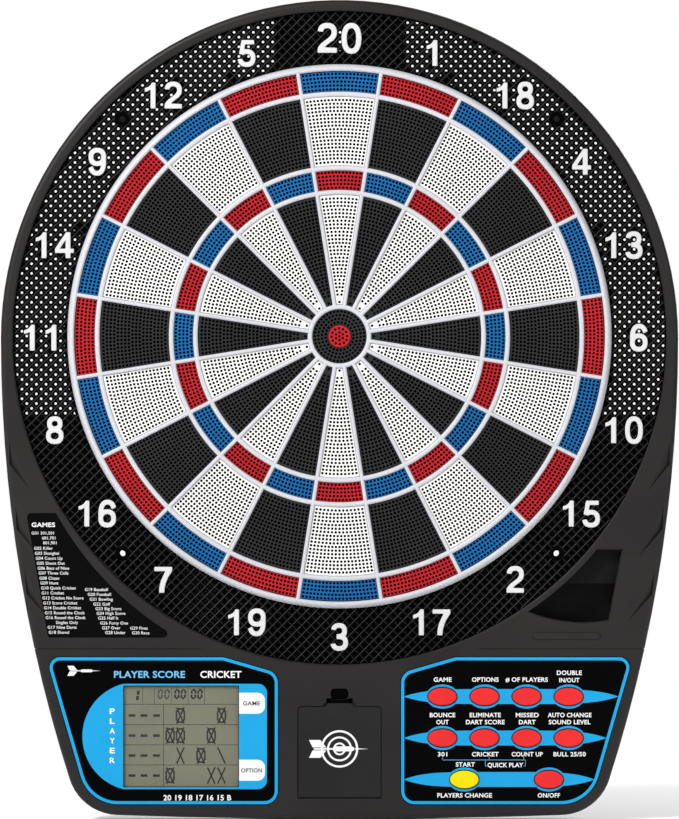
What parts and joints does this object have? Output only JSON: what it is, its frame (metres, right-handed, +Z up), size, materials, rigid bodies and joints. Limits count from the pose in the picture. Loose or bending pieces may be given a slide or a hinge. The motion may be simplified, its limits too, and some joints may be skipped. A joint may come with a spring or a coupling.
{
  "type": "electronic dartboard",
  "caption": "Wall-hung electronic dartboard: sprung scoring segments in a web, hatched catch ring, display, oval keys, hinged battery door and a dart pocket.",
  "frame": {"origin": "on the bull's-eye axis, on the wall plane that the rear cover rests on", "axes": "+Z up, +X to the right as a player sees the board, the target faces -Y and +Y goes into the wall"},
  "size_m": [0.4894, 0.0334, 0.5917],
  "materials": {
    "housing": "fine matt grain",
    "catch_ring": "satin",
    "numeral": "satin paint on raised figures",
    "spider": "satin",
    "film": "printed polyester",
    "foam": "closed-cell foam",
    "rear_cover": "matt",
    "panel_print": "printed, satin varnish",
    "lens": "clear acrylic",
    "lcd": "grey-green reflective display",
    "inner_plastic": "matt",
    "key_mat": "silicone rubber",
    "board": "soldered circuit board",
    "wire": "insulated wire",
    "cell": "plain wrapped cell",
    "contact": "nickel-plated spring steel",
    "speaker": "black",
    "card": "printed card",
    "screw": "zinc-plated",
    "segment_black": "satin",
    "segment_white": "satin",
    "segment_red": "satin",
    "segment_blue": "satin",
    "key_red": "satin",
    "key_yellow": "satin"
  },
  "bodies": {
    "case": {"front_housing": "housing", "catch_ring": "catch_ring", "ring_numerals": "numeral", "spider": "spider", "matrix_film": "film", "foam_pad": "foam", "rear_cover": "rear_cover", "display_fascia": "panel_print", "lcd_lens": "lens", "lcd_panel": "lcd", "lcd_holder": "inner_plastic", "control_fascia": "panel_print", "key_mat": "key_mat", "key_board": "board", "main_board": "board", "wiring": "wire", "battery_tray": "inner_plastic", "battery_cells": "cell", "battery_contacts": "contact", "speaker": "speaker", "games_card": "card", "dart_bin": "housing", "screws": "screw"},
    "button_game_body": {"button_game": "key_red"},
    "button_options_body": {"button_options": "key_red"},
    "button_players_body": {"button_players": "key_red"},
    "button_double_body": {"button_double": "key_red"},
    "button_bounce_body": {"button_bounce": "key_red"},
    "button_eliminate_body": {"button_eliminate": "key_red"},
    "button_missed_body": {"button_missed": "key_red"},
    "button_sound_body": {"button_sound": "key_red"},
    "button_start_body": {"button_start": "key_yellow"},
    "button_power_body": {"button_power": "key_red"},
    "battery_door_body": {"battery_door": "housing"},
    "bull_outer_body": {"bull_outer": "segment_black"},
    "bull_inner_body": {"bull_inner": "segment_red"},
    "doubles_blue_body": {"doubles_blue": "segment_blue"},
    "doubles_red_body": {"doubles_red": "segment_red"},
    "triples_red_body": {"triples_red": "segment_red"},
    "triples_blue_body": {"triples_blue": "segment_blue"},
    "single_01_body": {"single_01": "segment_black"},
    "single_02_body": {"single_02": "segment_white"},
    "single_03_body": {"single_03": "segment_white"},
    "single_04_body": {"single_04": "segment_black"},
    "single_05_body": {"single_05": "segment_black"},
    "single_06_body": {"single_06": "segment_black"},
    "single_07_body": {"single_07": "segment_white"},
    "single_08_body": {"single_08": "segment_white"},
    "single_09_body": {"single_09": "segment_black"},
    "single_10_body": {"single_10": "segment_white"},
    "single_11_body": {"single_11": "segment_black"},
    "single_12_body": {"single_12": "segment_white"},
    "single_13_body": {"single_13": "segment_white"},
    "single_14_body": {"single_14": "segment_white"},
    "single_15_body": {"single_15": "segment_black"},
    "single_16_body": {"single_16": "segment_black"},
    "single_17_body": {"single_17": "segment_black"},
    "single_18_body": {"single_18": "segment_white"},
    "single_19_body": {"single_19": "segment_black"},
    "single_20_body": {"single_20": "segment_white"}
  },
  "joints": [
    {"name": "button_game", "type": "slide", "parent": "case", "child": "button_game_body", "axis": [0, 1, 0], "range_m": [0, 0.001], "stiffness_N_per_m": 1500},
    {"name": "button_options", "type": "slide", "parent": "case", "child": "button_options_body", "axis": [0, 1, 0], "range_m": [0, 0.001], "stiffness_N_per_m": 1500},
    {"name": "button_players", "type": "slide", "parent": "case", "child": "button_players_body", "axis": [0, 1, 0], "range_m": [0, 0.001], "stiffness_N_per_m": 1500},
    {"name": "button_double", "type": "slide", "parent": "case", "child": "button_double_body", "axis": [0, 1, 0], "range_m": [0, 0.001], "stiffness_N_per_m": 1500},
    {"name": "button_bounce", "type": "slide", "parent": "case", "child": "button_bounce_body", "axis": [0, 1, 0], "range_m": [0, 0.001], "stiffness_N_per_m": 1500},
    {"name": "button_eliminate", "type": "slide", "parent": "case", "child": "button_eliminate_body", "axis": [0, 1, 0], "range_m": [0, 0.001], "stiffness_N_per_m": 1500},
    {"name": "button_missed", "type": "slide", "parent": "case", "child": "button_missed_body", "axis": [0, 1, 0], "range_m": [0, 0.001], "stiffness_N_per_m": 1500},
    {"name": "button_sound", "type": "slide", "parent": "case", "child": "button_sound_body", "axis": [0, 1, 0], "range_m": [0, 0.001], "stiffness_N_per_m": 1500},
    {"name": "button_start", "type": "slide", "parent": "case", "child": "button_start_body", "axis": [0, 1, 0], "range_m": [0, 0.001], "stiffness_N_per_m": 1500},
    {"name": "button_power", "type": "slide", "parent": "case", "child": "button_power_body", "axis": [0, 1, 0], "range_m": [0, 0.001], "stiffness_N_per_m": 1500},
    {"name": "battery_door", "type": "hinge", "parent": "case", "child": "battery_door_body", "pos_m": [0, -0.031, -0.3323], "axis": [1, 0, 0], "range_deg": [0, 75]},
    {"name": "bull_outer", "type": "slide", "parent": "case", "child": "bull_outer_body", "axis": [0, 1, 0], "range_m": [0, 0.0012], "stiffness_N_per_m": 4000},
    {"name": "bull_inner", "type": "slide", "parent": "case", "child": "bull_inner_body", "axis": [0, 1, 0], "range_m": [0, 0.0012], "stiffness_N_per_m": 4000},
    {"name": "doubles_blue", "type": "slide", "parent": "case", "child": "doubles_blue_body", "axis": [0, 1, 0], "range_m": [0, 0.0012], "stiffness_N_per_m": 4000},
    {"name": "doubles_red", "type": "slide", "parent": "case", "child": "doubles_red_body", "axis": [0, 1, 0], "range_m": [0, 0.0012], "stiffness_N_per_m": 4000},
    {"name": "triples_red", "type": "slide", "parent": "case", "child": "triples_red_body", "axis": [0, 1, 0], "range_m": [0, 0.0012], "stiffness_N_per_m": 4000},
    {"name": "triples_blue", "type": "slide", "parent": "case", "child": "triples_blue_body", "axis": [0, 1, 0], "range_m": [0, 0.0012], "stiffness_N_per_m": 4000},
    {"name": "single_01", "type": "slide", "parent": "case", "child": "single_01_body", "axis": [0, 1, 0], "range_m": [0, 0.0012], "stiffness_N_per_m": 3000},
    {"name": "single_02", "type": "slide", "parent": "case", "child": "single_02_body", "axis": [0, 1, 0], "range_m": [0, 0.0012], "stiffness_N_per_m": 3000},
    {"name": "single_03", "type": "slide", "parent": "case", "child": "single_03_body", "axis": [0, 1, 0], "range_m": [0, 0.0012], "stiffness_N_per_m": 3000},
    {"name": "single_04", "type": "slide", "parent": "case", "child": "single_04_body", "axis": [0, 1, 0], "range_m": [0, 0.0012], "stiffness_N_per_m": 3000},
    {"name": "single_05", "type": "slide", "parent": "case", "child": "single_05_body", "axis": [0, 1, 0], "range_m": [0, 0.0012], "stiffness_N_per_m": 3000},
    {"name": "single_06", "type": "slide", "parent": "case", "child": "single_06_body", "axis": [0, 1, 0], "range_m": [0, 0.0012], "stiffness_N_per_m": 3000},
    {"name": "single_07", "type": "slide", "parent": "case", "child": "single_07_body", "axis": [0, 1, 0], "range_m": [0, 0.0012], "stiffness_N_per_m": 3000},
    {"name": "single_08", "type": "slide", "parent": "case", "child": "single_08_body", "axis": [0, 1, 0], "range_m": [0, 0.0012], "stiffness_N_per_m": 3000},
    {"name": "single_09", "type": "slide", "parent": "case", "child": "single_09_body", "axis": [0, 1, 0], "range_m": [0, 0.0012], "stiffness_N_per_m": 3000},
    {"name": "single_10", "type": "slide", "parent": "case", "child": "single_10_body", "axis": [0, 1, 0], "range_m": [0, 0.0012], "stiffness_N_per_m": 3000},
    {"name": "single_11", "type": "slide", "parent": "case", "child": "single_11_body", "axis": [0, 1, 0], "range_m": [0, 0.0012], "stiffness_N_per_m": 3000},
    {"name": "single_12", "type": "slide", "parent": "case", "child": "single_12_body", "axis": [0, 1, 0], "range_m": [0, 0.0012], "stiffness_N_per_m": 3000},
    {"name": "single_13", "type": "slide", "parent": "case", "child": "single_13_body", "axis": [0, 1, 0], "range_m": [0, 0.0012], "stiffness_N_per_m": 3000},
    {"name": "single_14", "type": "slide", "parent": "case", "child": "single_14_body", "axis": [0, 1, 0], "range_m": [0, 0.0012], "stiffness_N_per_m": 3000},
    {"name": "single_15", "type": "slide", "parent": "case", "child": "single_15_body", "axis": [0, 1, 0], "range_m": [0, 0.0012], "stiffness_N_per_m": 3000},
    {"name": "single_16", "type": "slide", "parent": "case", "child": "single_16_body", "axis": [0, 1, 0], "range_m": [0, 0.0012], "stiffness_N_per_m": 3000},
    {"name": "single_17", "type": "slide", "parent": "case", "child": "single_17_body", "axis": [0, 1, 0], "range_m": [0, 0.0012], "stiffness_N_per_m": 3000},
    {"name": "single_18", "type": "slide", "parent": "case", "child": "single_18_body", "axis": [0, 1, 0], "range_m": [0, 0.0012], "stiffness_N_per_m": 3000},
    {"name": "single_19", "type": "slide", "parent": "case", "child": "single_19_body", "axis": [0, 1, 0], "range_m": [0, 0.0012], "stiffness_N_per_m": 3000},
    {"name": "single_20", "type": "slide", "parent": "case", "child": "single_20_body", "axis": [0, 1, 0], "range_m": [0, 0.0012], "stiffness_N_per_m": 3000}
  ]
}
